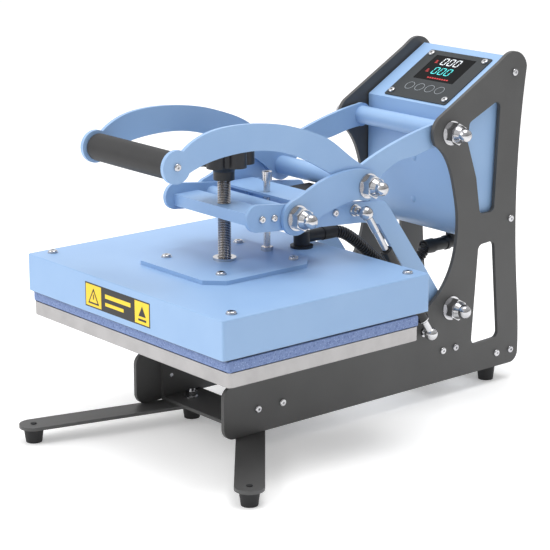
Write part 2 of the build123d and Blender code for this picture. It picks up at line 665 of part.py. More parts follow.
with BuildPart() as head_bar:
    # threaded for the pressure screw in the middle
    with Locations((0, (BAR_FRONT + BAR_BACK) / 2, BAR_BOTTOM)):
        Box(2 * BLADE_IN, BAR_BACK - BAR_FRONT, BAR_TOP - BAR_BOTTOM, align=(Align.CENTER, Align.CENTER, Align.MIN))
    with Locations((0, COVER_Y, BAR_BOTTOM)):
        Cylinder(RUNNING_BORE_R, 60, mode=Mode.SUBTRACT)
    for side in SIDES.values():
        with Locations(*[facing_out(side, BLADE_IN, spot) for spot in ARM_SCREWS[:2]]):
            Cylinder(SCREW_HOLE_R, 12, mode=Mode.SUBTRACT)
save(head_bar.part, "head_bar")

GUIDE_AT = (0.0, 69.5)
with BuildPart() as head_channel:
    # folded: a shelf that guides the bolt, a web and two end tabs
    with Locations((0, 84, 121)):
        Box(2 * BLADE_IN, 48, 3, align=(Align.CENTER, Align.CENTER, Align.MIN))
    with Locations((0, 106.5, 98)):
        Box(2 * BLADE_IN, 3, 26, align=(Align.CENTER, Align.CENTER, Align.MIN))
    for side in SIDES.values():
        with Locations((side * (BLADE_IN - 1.5), 108, 98)):
            Box(3, 20, 24, align=(Align.CENTER, Align.CENTER, Align.MIN))
        with Locations(facing_out(side, BLADE_IN, ARM_SCREWS[2])):
            Cylinder(SCREW_HOLE_R, 12, mode=Mode.SUBTRACT)
    with Locations((*GUIDE_AT, 121)):
        Cylinder(4.3, 20, mode=Mode.SUBTRACT)
save(head_channel.part, "head_channel")

with BuildPart() as stop_block:
    # rubber rest for the lever's middle tube
    with Locations((0, 130, 103)):
        Box(34, 44, 17.6, align=(Align.CENTER, Align.CENTER, Align.MIN))
    fillet(stop_block.edges().filter_by(Axis.X), 2)
save(stop_block.part, "stop_block")

with BuildPart() as link_tube:
    with Locations(across(LINK_PIVOT)):
        Cylinder(11, 2 * BLADE_IN)
        Cylinder(FIXED_BORE_R, 2 * BLADE_IN, mode=Mode.SUBTRACT)
save(link_tube.part, "link_tube")

LINK_WASHER_IN = LINK_OUT + 0.3
axle("link_axle", LINK_PIVOT, LINK_WASHER_IN + WASHER_T)

with BuildPart() as link_axle_nuts:
    for side in SIDES.values():
        with Locations(facing_out(side, LINK_WASHER_IN, LINK_PIVOT)):
            add(big_washer.part)
        with Locations(facing_out(side, LINK_WASHER_IN + WASHER_T, LINK_PIVOT)):
            add(acorn_nut.part)
save(link_axle_nuts.part, "link_axle_nuts")

with BuildPart() as arm_screws:
    for side in SIDES.values():
        with Locations(*[facing_out(side, BLADE_OUT, spot) for spot in ARM_SCREWS]):
            add(button_screw.part)
save(arm_screws.part, "arm_screws")

# ---------------------------------------------------------------- operating lever
GRIP_AT = (-122.0, 192.0)
GRIP_R = 16.0
LEVER_TOP_FRONT = [
    (-113, 208.5), (-90, 221.5), (-73, 226), (-55, 228), (-27, 228), (10, 224), (39, 218),
    (61, 211), (100, 194), (123, 177), (150, 158),
]  # fmt: skip
LEVER_TOP_BACK = [(150, 158), (166, 165), (185, 172), (211, 180), (244, 188), (284, 194.4)]
LEVER_UNDER_BACK = [(284, 165.5), (253, 161), (233, 157), (211, 155), (195, 149), (182, 141), (170, 128)]
LEVER_UNDER_FRONT = [
    (139, 126), (114, 146), (84, 164), (57, 178), (24, 190), (-2, 195), (-41, 196), (-76, 192), (-106, 183),
]  # fmt: skip

for label, side in SIDES.items():
    with BuildPart() as lever_plate:
        with BuildSketch(standing(side, BLADE_IN, BLADE_OUT)):
            with BuildLine():
                Spline(*LEVER_TOP_FRONT)
                Spline(*LEVER_TOP_BACK)
                Line(LEVER_TOP_BACK[-1], LEVER_UNDER_BACK[0])
                Spline(*LEVER_UNDER_BACK)
                Line(LEVER_UNDER_BACK[-1], LEVER_UNDER_FRONT[0])
                Spline(*LEVER_UNDER_FRONT)
                Line(LEVER_UNDER_FRONT[-1], LEVER_TOP_FRONT[0])
            make_face()
            with Locations(GRIP_AT):
                Circle(19)
                Circle(SCREW_HOLE_R, mode=Mode.SUBTRACT)
            with Locations(KNEE_PIVOT):
                Circle(19)
            with Locations(TOP_PIVOT):
                Circle(15)
                Circle(RUNNING_BORE_R, mode=Mode.SUBTRACT)
        extrude(amount=BLADE_OUT - BLADE_IN)
    save(lever_plate.part, f"lever_plate_{label}")

for name, spot in (("top_tube", TOP_PIVOT), ("middle_tube", KNEE_PIVOT)):
    with BuildPart() as lever_tube:
        with Locations(across(spot)):
            Cylinder(TUBE_R, 2 * BLADE_IN)
            Cylinder(RUNNING_BORE_R, 2 * BLADE_IN, mode=Mode.SUBTRACT)
    save(lever_tube.part, name)

with BuildPart() as grip:
    with Locations(across(GRIP_AT)):
        Cylinder(GRIP_R, 2 * BLADE_IN)
    for side in SIDES.values():
        with Locations(facing_out(side, BLADE_IN, GRIP_AT)):
            Cylinder(SCREW_HOLE_R, 12, mode=Mode.SUBTRACT)
save(grip.part, "grip")

with BuildPart() as grip_screws:
    for side in SIDES.values():
        with Locations(facing_out(side, BLADE_OUT, GRIP_AT)):
            add(button_screw.part)
save(grip_screws.part, "grip_screws")

# ---------------------------------------------------------------- toggle links
LINK_TOP = [
    (37, 130.4), (56.9, 138), (72.1, 144.8), (92, 151.2), (110.5, 154.6), (129.2, 155.6), (145, 154.6), (162, 149.5),
]  # fmt: skip
LINK_UNDER = [
    (151, 115.6), (140, 118), (128.1, 117.8), (111.3, 115.1), (96.9, 111.7), (83, 107.5), (73.8, 102.7), (54, 92),
]  # fmt: skip

for label, side in SIDES.items():
    with BuildPart() as toggle_link:
        with BuildSketch(standing(side, LINK_IN, LINK_OUT)):
            with BuildLine():
                Spline(*LINK_TOP)
                Line(LINK_TOP[-1], LINK_UNDER[0])
                Spline(*LINK_UNDER)
                Line(LINK_UNDER[-1], LINK_TOP[0])
            make_face()
            with Locations(LINK_PIVOT):
                Circle(21)
                Circle(RUNNING_BORE_R, mode=Mode.SUBTRACT)
            with Locations(KNEE_PIVOT):
                Circle(18)
                Circle(FIXED_BORE_R, mode=Mode.SUBTRACT)
        extrude(amount=LINK_OUT - LINK_IN)
    save(toggle_link.part, f"toggle_link_{label}")

with BuildPart() as link_nuts:
    # short studs through the links, with a washer and an acorn nut outside
    for side in SIDES.values():
        with Locations(facing_out(side, LINK_IN + 0.1, KNEE_PIVOT)):
            Cylinder(AXLE_R, LINK_OUT - LINK_IN + NUT_GRIP, align=(Align.CENTER, Align.CENTER, Align.MIN))
        with Locations(facing_out(side, LINK_OUT, KNEE_PIVOT)):
            add(big_washer.part)
        with Locations(facing_out(side, LINK_OUT + WASHER_T, KNEE_PIVOT)):
            add(acorn_nut.part)
save(link_nuts.part, "link_nuts")

# ---------------------------------------------------------------- heater: cover, plate, element, blanket
COVER_SCREWS = [(x, y) for x in (-172.0, 172.0) for y in (-122.0, 138.0)]
MOUNT_SCREWS = [(x, y) for x in (-52.0, 52.0) for y in (-41.5, 67.5)]
HOSE_ENTRY = (0.0, 124.0)
POST_R = 7.0
HEAT_PLATE_BOTTOM = 0.2
HEAT_PLATE_TOP = 14.0
ELEMENT_R = 4.0
BLANKET_BOTTOM = HEAT_PLATE_TOP + 2 * ELEMENT_R
BLANKET_TOP = 36.0

with BuildPart() as heater_cover:
    with BuildSketch(Plane.XY.offset(COVER_BOTTOM)):
        with Locations((0, COVER_Y)):
            RectangleRounded(COVER_W, COVER_D, 3)
    extrude(amount=COVER_TOP - COVER_BOTTOM)
    fillet(heater_cover.faces().sort_by(Axis.Z)[-1].edges(), 1.6)
    with BuildSketch(Plane.XY.offset(COVER_BOTTOM)):
        with Locations((0, COVER_Y)):
            RectangleRounded(COVER_W - 2 * COVER_WALL, COVER_D - 2 * COVER_WALL, 1.5)
    extrude(amount=COVER_TOP - COVER_BOTTOM - COVER_WALL, mode=Mode.SUBTRACT)
    with Locations([(x, y, COVER_TOP) for x, y in COVER_SCREWS + MOUNT_SCREWS]):
        Cylinder(SCREW_HOLE_R, 12, mode=Mode.SUBTRACT)
    with Locations((*HOSE_ENTRY, COVER_TOP)):
        Cylinder(7, 12, mode=Mode.SUBTRACT)
save(heater_cover.part, "heater_cover")

with BuildPart() as heat_plate:
    # cast plate with four posts that hold up the cover
    with BuildSketch(Plane.XY.offset(HEAT_PLATE_BOTTOM)):
        with Locations((0, COVER_Y)):
            RectangleRounded(COVER_W - 6, COVER_D - 6, 3)
    extrude(amount=HEAT_PLATE_TOP - HEAT_PLATE_BOTTOM)
    with BuildSketch(Plane.XY.offset(HEAT_PLATE_TOP)):
        with Locations(COVER_SCREWS):
            Circle(POST_R)
    extrude(amount=COVER_TOP - COVER_WALL - HEAT_PLATE_TOP)
    with Locations([(x, y, COVER_TOP) for x, y in COVER_SCREWS]):
        Cylinder(SCREW_HOLE_R, 24, mode=Mode.SUBTRACT)
save(heat_plate.part, "heat_plate")

ELEMENT_PATH = [
    (-15, 125), (-150, 125), (-150, -125), (-90, -125), (-90, 85), (-30, 85), (-30, -125),
    (30, -125), (30, 85), (90, 85), (90, -125), (150, -125), (150, 125), (15, 125),
]  # fmt: skip
with BuildPart() as heating_element:
    with BuildLine(Plane.XY.offset(HEAT_PLATE_TOP + ELEMENT_R)) as element_run:
        FilletPolyline(*ELEMENT_PATH, radius=22)
    with BuildSketch(Plane(origin=element_run.line @ 0, z_dir=element_run.line % 0)):
        Circle(ELEMENT_R)
    sweep()
save(heating_element.part, "heating_element")

with BuildPart() as insulation_blanket:
    with BuildSketch(Plane.XY.offset(BLANKET_BOTTOM)):
        with Locations((0, COVER_Y)):
            RectangleRounded(COVER_W - 8, COVER_D - 8, 4)
        with Locations(COVER_SCREWS):
            Circle(POST_R + 0.5, mode=Mode.SUBTRACT)
        with Locations(HOSE_ENTRY):
            Circle(18, mode=Mode.SUBTRACT)
    extrude(amount=BLANKET_TOP - BLANKET_BOTTOM)
save(insulation_blanket.part, "insulation_blanket")

MOUNT_HALF = 79.0
MOUNT_CHAMFER = 20.0
with BuildPart() as mounting_plate:
    with BuildSketch(Plane.XY.offset(COVER_TOP)):
        with Locations((0, COVER_Y)):
            Rectangle(2 * MOUNT_HALF, 2 * MOUNT_HALF)
        chamfer(vertices(), MOUNT_CHAMFER)
        with Locations(MOUNT_SCREWS):
            Circle(SCREW_HOLE_R, mode=Mode.SUBTRACT)
        with Locations(GUIDE_AT):
            Circle(4.05, mode=Mode.SUBTRACT)
    extrude(amount=MOUNT_TOP - COVER_TOP)
save(mounting_plate.part, "mounting_plate")

THRUST_T = 3.0
with BuildPart() as platen_screws:
    # cover and mounting plate screws, and the thrust washer around the pressure screw
    with Locations([(x, y, COVER_TOP) for x, y in COVER_SCREWS] + [(x, y, MOUNT_TOP) for x, y in MOUNT_SCREWS]):
        add(pan_screw.part)
    with BuildSketch(Plane.XY.offset(MOUNT_TOP)):
        with Locations((0, COVER_Y)):
            Circle(14)
            Circle(RUNNING_BORE_R, mode=Mode.SUBTRACT)
    extrude(amount=THRUST_T)
save(platen_screws.part, "platen_screws")

GUIDE_HEAD_BOTTOM = 138.0
with BuildPart() as guide_bolt:
    with Locations((*GUIDE_AT, COVER_TOP)):
        Cylinder(4, GUIDE_HEAD_BOTTOM - COVER_TOP, align=(Align.CENTER, Align.CENTER, Align.MIN))
    with Locations((*GUIDE_AT, MOUNT_TOP)):
        add(GUIDE_NUT)
    with Locations((*GUIDE_AT, GUIDE_HEAD_BOTTOM)):
        Cylinder(6.3, 10.5, align=(Align.CENTER, Align.CENTER, Align.MIN))
    with Locations((*GUIDE_AT, GUIDE_HEAD_BOTTOM + 5.5)):
        add(KEY_SOCKET, mode=Mode.SUBTRACT)
save(guide_bolt.part, "guide_bolt")

ELBOW_AXIS_Z = 59.0
ELBOW_END = 176.0
with BuildPart() as elbow_fitting:
    # flange and turret on the cover, a barrel backwards for the hose
    with Locations((*HOSE_ENTRY, COVER_TOP)):
        Cylinder(14, 3, align=(Align.CENTER, Align.CENTER, Align.MIN))
        Cylinder(10, 20.5, align=(Align.CENTER, Align.CENTER, Align.MIN))
    with Locations(Location((HOSE_ENTRY[0], HOSE_ENTRY[1], ELBOW_AXIS_Z), (-90, 0, 0))):
        Cylinder(7.5, ELBOW_END - HOSE_ENTRY[1], align=(Align.CENTER, Align.CENTER, Align.MIN))
    with Locations(Location((0, ELBOW_END - 20, ELBOW_AXIS_Z), (-90, 0, 0))):
        Cylinder(8.4, 20, align=(Align.CENTER, Align.CENTER, Align.MIN))
save(elbow_fitting.part, "elbow_fitting")

HOSE_PATH = [
    (0, ELBOW_END, ELBOW_AXIS_Z), (0, 204, 46), (0, 232, 25), (0, 263, 3), (0, 288, -4), (0, 310, -1),
    (0, 322, 9), (0, 330, GLAND_Z), (0, HOSE_END, GLAND_Z),
]  # fmt: skip
with BuildPart() as hose:
    with BuildLine() as hose_run:
        Spline(*HOSE_PATH, tangents=[(0, 1, 0), (0, 1, 0)])
    with BuildSketch(Plane(origin=hose_run.line @ 0, z_dir=hose_run.line % 0)):
        Circle(HOSE_R)
    sweep()
save(hose.part, "hose")

# ---------------------------------------------------------------- pressure screw and its knob
KNOB_BOTTOM = 148.0
with BuildPart() as pressure_screw:
    with Locations((0, COVER_Y, MOUNT_TOP + 0.3)):
        Cylinder(AXLE_R, 182 - MOUNT_TOP - 0.3, align=(Align.CENTER, Align.CENTER, Align.MIN))
    chamfer(pressure_screw.edges().group_by(Axis.Z)[-1], 1)
save(pressure_screw.part, "pressure_screw")

with BuildPart() as knob:
    with BuildSketch(Plane.XZ):
        with BuildLine():
            Polyline((0, 0), (12.5, 0), (12.5, 10), (15, 14), (19, 18), (22, 20), (0, 20), close=True)
        make_face()
    revolve(axis=Axis.Z)
    with BuildSketch(Plane.XY.offset(18)):
        Circle(27)
        with PolarLocations(25, 6):
            Circle(11)
    extrude(amount=22)
    fillet(knob.edges().group_by(Axis.Z)[-1], 3)
    Cylinder(FIXED_BORE_R, 34.2, align=(Align.CENTER, Align.CENTER, Align.MIN), mode=Mode.SUBTRACT)
save(knob.part.moved(Location((0, COVER_Y, KNOB_BOTTOM))), "knob")
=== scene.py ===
# %% [markdown]
# # A clamshell heat press
# The machine's plates, bars, screws and axles come in as a fixed frame of solids. This lesson gives each
# of them its finish, and adds what solids do badly: threads, a ribbed hose, a foam grip, a printed label
# and a lit display. Everything is in metres, +Z up, with the operator on the -Y side.

# %% Load the frame
from math import cos, pi, radians, sin

import json

import bmesh
import bpy
from mathutils import Matrix, Vector


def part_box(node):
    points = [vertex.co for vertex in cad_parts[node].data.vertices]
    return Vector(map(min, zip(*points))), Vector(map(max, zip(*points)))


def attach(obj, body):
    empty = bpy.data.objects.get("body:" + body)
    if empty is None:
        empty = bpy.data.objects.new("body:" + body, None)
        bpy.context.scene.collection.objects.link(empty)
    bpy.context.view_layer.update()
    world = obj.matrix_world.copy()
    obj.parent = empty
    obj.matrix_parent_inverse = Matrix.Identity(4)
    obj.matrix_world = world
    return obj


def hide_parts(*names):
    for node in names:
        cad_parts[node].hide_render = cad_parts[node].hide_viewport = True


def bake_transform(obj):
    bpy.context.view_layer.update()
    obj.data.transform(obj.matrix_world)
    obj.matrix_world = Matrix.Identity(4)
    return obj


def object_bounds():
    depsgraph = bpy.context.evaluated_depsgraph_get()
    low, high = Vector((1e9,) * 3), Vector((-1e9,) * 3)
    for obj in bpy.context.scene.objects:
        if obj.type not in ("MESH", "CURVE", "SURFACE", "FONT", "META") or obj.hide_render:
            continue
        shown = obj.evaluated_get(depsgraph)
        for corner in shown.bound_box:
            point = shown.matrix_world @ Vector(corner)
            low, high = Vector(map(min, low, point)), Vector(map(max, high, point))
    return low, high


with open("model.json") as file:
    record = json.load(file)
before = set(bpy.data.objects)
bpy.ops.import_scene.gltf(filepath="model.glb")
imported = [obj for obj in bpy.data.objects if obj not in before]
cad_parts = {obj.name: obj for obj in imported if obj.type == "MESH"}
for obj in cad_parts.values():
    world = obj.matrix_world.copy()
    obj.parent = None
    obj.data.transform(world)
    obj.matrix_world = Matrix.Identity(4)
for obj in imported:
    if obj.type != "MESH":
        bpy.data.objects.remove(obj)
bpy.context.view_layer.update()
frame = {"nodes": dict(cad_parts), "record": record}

# %% [markdown]
# ## Colours
# Paint is described as people read it, from 0 to 255 a channel, while a shader wants linear light, so one
# small helper converts between them.


# %% A colour helper
def paint(red, green, blue):
    """Shader colour for a paint given as 0 to 255 a channel."""

    def linear(level):
        share = level / 255
        return share / 12.92 if share <= 0.04045 else ((share + 0.055) / 1.055) ** 2.4

    return (linear(red), linear(green), linear(blue), 1.0)


# %% [markdown]
# ## One recipe for coated and moulded surfaces
# Powder coat, rubber and moulded plastic all share a structure: a fine grain that lifts the surface, and
# slow patches where the tone and the shine drift a little. Both are noises on Object coordinates, so they
# sit still on a piece when it moves. The recipe takes the sizes of both and returns a material.


# %% The surface recipe
def surface(name, tone, dark_tone, rough, metallic=0.0, grain=900.0, lift=0.06, patch=14.0, rough_span=0.08):
    """Material with a fine raised grain, and slow drift of tone and roughness."""
    material = bpy.data.materials.new(name)
    material.use_nodes = True
    nodes = material.node_tree.nodes
    links = material.node_tree.links
    shader = nodes["Principled BSDF"]
    place = nodes.new("ShaderNodeTexCoord")
    slow = nodes.new("ShaderNodeTexNoise")
    slow.inputs["Scale"].default_value = patch
    slow.inputs["Detail"].default_value = 3.0
    fine = nodes.new("ShaderNodeTexNoise")
    fine.inputs["Scale"].default_value = grain
    fine.inputs["Detail"].default_value = 2.0
    for noise in (slow, fine):
        links.new(place.outputs["Object"], noise.inputs["Vector"])
    tones = nodes.new("ShaderNodeValToRGB")
    tones.color_ramp.elements[0].position = 0.3
    tones.color_ramp.elements[0].color = dark_tone
    tones.color_ramp.elements[1].position = 0.62
    tones.color_ramp.elements[1].color = tone
    links.new(slow.outputs["Fac"], tones.inputs["Fac"])
    links.new(tones.outputs["Color"], shader.inputs["Base Color"])
    shine = nodes.new("ShaderNodeMapRange")
    shine.inputs["To Min"].default_value = rough - rough_span / 2
    shine.inputs["To Max"].default_value = rough + rough_span / 2
    links.new(slow.outputs["Fac"], shine.inputs["Value"])
    links.new(shine.outputs["Result"], shader.inputs["Roughness"])
    bump = nodes.new("ShaderNodeBump")
    bump.inputs["Strength"].default_value = lift
    bump.inputs["Distance"].default_value = 0.0004
    links.new(fine.outputs["Fac"], bump.inputs["Height"])
    links.new(bump.outputs["Normal"], shader.inputs["Normal"])
    shader.inputs["Metallic"].default_value = metallic
    return material


# %% [markdown]
# ## The finishes of this press
# Two powder coats cover most of it: a satin light blue and a fine dark grey. The lower plate is bare ground
# aluminium, the pad is a speckled silicone foam, and the hardware is bright plated steel.

# %% Make the finishes
blue_coat = surface(
    "blue_powder_coat", paint(149, 182, 221), paint(143, 177, 218), 0.4, grain=1500, lift=0.05
)
grey_coat = surface("grey_powder_coat", paint(80, 80, 80), paint(73, 73, 73), 0.48, grain=1300, lift=0.12)
bare_aluminium = surface(
    "ground_aluminium", paint(174, 172, 172), paint(163, 161, 161), 0.36, 1.0, 600, 0.05, 40
)
bright_plate = surface(
    "bright_plating", paint(208, 208, 210), paint(186, 186, 190), 0.15, 1.0, 500, 0.01, 60, 0.05
)
turned_steel = surface(
    "turned_steel", paint(222, 218, 216), paint(204, 200, 198), 0.22, 1.0, 700, 0.05, 70
)
black_rubber = surface("black_rubber", paint(34, 34, 36), paint(26, 26, 28), 0.7, grain=1100, lift=0.25)
black_nylon = surface("black_nylon", paint(30, 30, 33), paint(22, 22, 24), 0.42, grain=900, lift=0.08)
grip_foam = surface(
    "grip_foam", paint(44, 44, 45), paint(39, 39, 40), 0.62, grain=1700, lift=0.2, patch=60
)
overlay_film = surface("overlay_film", paint(50, 54, 57), paint(46, 50, 53), 0.46, grain=2200, lift=0.05)
display_glass = surface("display_glass", paint(9, 10, 12), paint(7, 8, 10), 0.12, grain=40, lift=0.0)
cast_heater = surface("cast_heater", paint(120, 118, 115), paint(96, 94, 92), 0.55, 0.8, 400, 0.3)
wool_blanket = surface(
    "wool_blanket", paint(226, 221, 208), paint(206, 200, 186), 0.95, grain=500, lift=0.8
)
green_board = surface("green_board", paint(28, 92, 54), paint(20, 72, 42), 0.45)
finned_mount = surface("finned_mount", paint(150, 152, 156), paint(130, 132, 136), 0.4, 1.0)
hose_nylon = surface("hose_nylon", paint(40, 40, 42), paint(32, 32, 34), 0.3, grain=900, lift=0.04)
gloss_black = surface(
    "gloss_black_tube", paint(18, 18, 20), paint(13, 13, 15), 0.18, grain=300, lift=0.02
)
for film_finish, shine_level in ((display_glass, 0.06), (overlay_film, 0.3)):
    film_finish.node_tree.nodes["Principled BSDF"].inputs["Specular IOR Level"].default_value = shine_level
print("finishes:", len(bpy.data.materials))

# %% [markdown]
# ## Finishes and painted shade that change with the distance from a line
# Two pieces carry two tones on one surface. The thread's grooves are darkened with painted shade against its
# plain crests, and the gas spring's black tube ends in a plated socket. Both are told by how far a point lies
# from a line: the screw's own axis, and the lower stud's.


# %% A mask around a line
def near_line(material, centre, across, reach):
    """Output that is 1 where a point of the piece is nearer to the line than reach, and else 0."""
    nodes = material.node_tree.nodes
    links = material.node_tree.links
    place = nodes.new("ShaderNodeTexCoord")
    offset = nodes.new("ShaderNodeVectorMath")
    offset.operation = "SUBTRACT"
    offset.inputs[1].default_value = centre
    flat = nodes.new("ShaderNodeVectorMath")
    flat.operation = "MULTIPLY"
    flat.inputs[1].default_value = across
    distance = nodes.new("ShaderNodeVectorMath")
    distance.operation = "LENGTH"
    near = nodes.new("ShaderNodeMath")
    near.operation = "LESS_THAN"
    near.inputs[1].default_value = reach
    links.new(place.outputs["Object"], offset.inputs[0])
    links.new(offset.outputs["Vector"], flat.inputs[0])
    links.new(flat.outputs["Vector"], distance.inputs[0])
    links.new(distance.outputs["Value"], near.inputs[0])
    return near.outputs["Value"]


def laid_over(material, mask, tone):
    """Mix a second tone into a surface where the mask is 1."""
    nodes = material.node_tree.nodes
    links = material.node_tree.links
    mix = nodes.new("ShaderNodeMix")
    mix.data_type = "RGBA"
    mix.inputs[7].default_value = tone
    links.new(mask, mix.inputs[0])
    links.new(nodes["Color Ramp"].outputs["Color"], mix.inputs[6])
    links.new(mix.outputs[2], nodes["Principled BSDF"].inputs["Base Color"])


def middle_of(node):
    """Middle of a solid's box."""
    low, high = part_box(node)
    return tuple((low[axis] + high[axis]) / 2 for axis in range(3))


SOCKET_REACH = 0.027
GROOVE_SHADE_RADIUS = 0.0075
socket_mask = near_line(gloss_black, middle_of("spring_stud_lower"), (0, 1, 1), SOCKET_REACH)
laid_over(gloss_black, socket_mask, paint(208, 208, 210))
tube_tree = gloss_black.node_tree
tube_tree.links.new(socket_mask, tube_tree.nodes["Principled BSDF"].inputs["Metallic"])
thread_steel = surface(
    "thread_steel", paint(214, 210, 208), paint(196, 192, 190), 0.24, 1.0, 700, 0.05, 70
)
# Painted shade: where the thread's surface lies deep in its grooves, near the screw's axis, it is darkened to
# a dull grey.
groove_shade_mask = near_line(thread_steel, middle_of("pressure_screw"), (1, 1, 0), GROOVE_SHADE_RADIUS)
laid_over(thread_steel, groove_shade_mask, paint(132, 128, 126))

# %% [markdown]
# ## The speckled pad
# The silicone foam has two sizes of fleck in it: pale specks and darker ones. A Voronoi texture gives
# rounded cells, and a narrow ramp over the distance to their middles keeps only small dots of them.


# %% The pad's finish
def speckled(name, ground, pale, dark):
    """Foam with small pale and dark flecks."""
    material = surface(name, ground, ground, 0.75, grain=1400, lift=0.3)
    nodes = material.node_tree.nodes
    links = material.node_tree.links
    place = nodes.new("ShaderNodeTexCoord")
    under = nodes["Color Ramp"].outputs["Color"]
    for fleck, scale, reach in ((pale, 420.0, 0.34), (dark, 300.0, 0.36)):
        cells = nodes.new("ShaderNodeTexVoronoi")
        cells.inputs["Scale"].default_value = scale
        links.new(place.outputs["Object"], cells.inputs["Vector"])
        dots = nodes.new("ShaderNodeMapRange")
        dots.inputs["From Min"].default_value = reach
        dots.inputs["From Max"].default_value = reach - 0.12
        links.new(cells.outputs["Distance"], dots.inputs["Value"])
        mix = nodes.new("ShaderNodeMix")
        mix.data_type = "RGBA"
        mix.inputs[7].default_value = fleck
        links.new(dots.outputs["Result"], mix.inputs[0])
        links.new(under, mix.inputs[6])
        under = mix.outputs[2]
    links.new(under, nodes["Principled BSDF"].inputs["Base Color"])
    return material


pad_foam = speckled("speckled_silicone", paint(118, 138, 182), paint(146, 164, 204), paint(96, 116, 164))

# %% [markdown]
# ## Hand out the finishes
# Every solid knows which finish slot of the record it belongs to. One dictionary turns a slot's name into a
# material, and each solid's own slots are filled from it.

# %% Dress the frame
finish_of = {
    "frame_grey": grey_coat,
    "machine_blue": blue_coat,
    "plate_aluminium": bare_aluminium,
    "pad_silicone": pad_foam,
    "bright_steel": bright_plate,
    "turned_steel": turned_steel,
    "foot_rubber": black_rubber,
    "black_plastic": black_nylon,
    "grip_foam": grip_foam,
    "overlay_film": overlay_film,
    "display_glass": display_glass,
    "heater_cast": cast_heater,
    "blanket_wool": wool_blanket,
    "board_green": green_board,
    "relay_finned": finned_mount,
    "spring_black": gloss_black,
}
for subpart in frame["record"]["subparts"]:
    solid = frame["nodes"][subpart["node"]]
    for material_slot in solid.material_slots:
        material_slot.material = finish_of[subpart["material_slot"]]


# %% [markdown]
# ## Small mesh helpers
# Three helpers serve all the pieces below. The first wraps corners and faces in an object at the origin. The
# second makes a block between two corners, with rounded edges and laid on a tilted plane where asked. The
# third joins several objects into one.


# %% Mesh helpers
def piece_from(name, corners, faces, material, smooth=False):
    """Object at the origin from corners and faces."""
    mesh = bpy.data.meshes.new(name)
    mesh.from_pydata([tuple(corner) for corner in corners], [], faces)
    mesh.materials.append(material)
    for polygon in mesh.polygons:
        polygon.use_smooth = smooth
    piece = bpy.data.objects.new(name, mesh)
    bpy.context.scene.collection.objects.link(piece)
    return piece


def block(name, low, high, material, round_by=0.0, segments=3, placed=None):
    """Block between two corners, its edges rounded, then moved by a placement matrix."""
    form = bmesh.new()
    bmesh.ops.create_cube(form, size=1.0)
    middle = (Vector(low) + Vector(high)) / 2
    sides = Vector(high) - Vector(low)
    for vertex in form.verts:
        vertex.co = Vector((vertex.co.x * sides.x, vertex.co.y * sides.y, vertex.co.z * sides.z)) + middle
    if round_by:
        edges = form.edges[:]
        bmesh.ops.bevel(form, geom=edges, offset=round_by, segments=segments, affect="EDGES", profile=0.5)
    if placed is not None:
        form.transform(placed)
    mesh = bpy.data.meshes.new(name)
    form.to_mesh(mesh)
    form.free()
    mesh.materials.append(material)
    for polygon in mesh.polygons:
        polygon.use_smooth = bool(round_by)
    piece = bpy.data.objects.new(name, mesh)
    bpy.context.scene.collection.objects.link(piece)
    return piece


def joined(name, pieces):
    """One object made of several, all already in place."""
    with bpy.context.temp_override(active_object=pieces[0], selected_editable_objects=pieces):
        bpy.ops.object.join()
    pieces[0].name = name
    pieces[0].data.name = name
    return pieces[0]


# %% [markdown]
# ## Threads
# The pressure screw is a long M16 thread. A thread is a helix, so its surface is a grid of rings in which the
# radius rises and falls with both the height and the turn.


# %% Threaded bars
def threaded_bar(name, axis_xy, radius, depth, pitch, bottom, top, material):
    """Bar with a helical thread, closed at both ends."""
    around = 28
    step = pitch / 6
    rings = int((top - bottom) / step)
    corners = []
    for ring in range(rings + 1):
        height = bottom + (top - bottom) * ring / rings
        for turn in range(around):
            angle = 2 * pi * turn / around
            phase = (height / pitch - turn / around) % 1.0
            reach = radius - depth * abs(2 * phase - 1)
            corners.append((axis_xy[0] + reach * cos(angle), axis_xy[1] + reach * sin(angle), height))
    faces = []
    for ring in range(rings):
        for turn in range(around):
            after = (turn + 1) % around
            low = ring * around
            high = low + around
            faces.append((low + turn, low + after, high + after, high + turn))
    faces.append(tuple(reversed(range(around))))
    faces.append(tuple(range(rings * around, (rings + 1) * around)))
    return piece_from(name, corners, faces, material, smooth=False)


screw_low, screw_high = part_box("pressure_screw")
screw_axis = middle_of("pressure_screw")[:2]
SCREW_RADIUS, THREAD_DEPTH, THREAD_PITCH = 0.008, 0.0011, 0.002
spindle = threaded_bar(
    "spindle_thread", screw_axis, SCREW_RADIUS, THREAD_DEPTH, THREAD_PITCH,
    screw_low[2], screw_high[2], thread_steel,
)  # fmt: skip
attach(spindle, "pressure_spindle")
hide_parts("pressure_screw")
print("spindle thread:", len(spindle.data.polygons), "faces")

# %% [markdown]
# ## The grip
# The lever's cross bar carries a foam-rubber sleeve. Its ends are soft, so the sleeve is a turned profile
# that swells gently in the middle and rolls over at each end.

# %% Grip sleeve
grip_low, grip_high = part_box("grip")
grip_y = (grip_low[1] + grip_high[1]) / 2
grip_z = (grip_low[2] + grip_high[2]) / 2
grip_half = (grip_high[0] - grip_low[0]) / 2
grip_radius = (grip_high[2] - grip_low[2]) / 2
grip_around = 48
end_roll = 0.005
ROLL_FULLNESS = 0.96
SWELL = 0.0002
STRAIGHT_FROM = 0.008
profile = [(-grip_half, grip_radius - end_roll)]
for roll in range(1, 7):
    angle = pi / 2 * roll / 6
    inward = end_roll * (1 - cos(angle))
    outward = end_roll * sin(angle) * ROLL_FULLNESS
    profile.append((-grip_half + inward, grip_radius - end_roll + outward))
for share in range(-8, 9):
    bulge = SWELL * (1 - (share / 8) ** 2)
    profile.append((share / 8 * (grip_half - STRAIGHT_FROM), grip_radius - SWELL + bulge))
profile += [(-along, reach) for along, reach in reversed(profile[:7])]
corners = []
for along, reach in profile:
    for turn in range(grip_around):
        angle = 2 * pi * turn / grip_around
        corners.append((along, grip_y + reach * cos(angle), grip_z + reach * sin(angle)))
faces = [tuple(reversed(range(grip_around))), tuple(range(len(corners) - grip_around, len(corners)))]
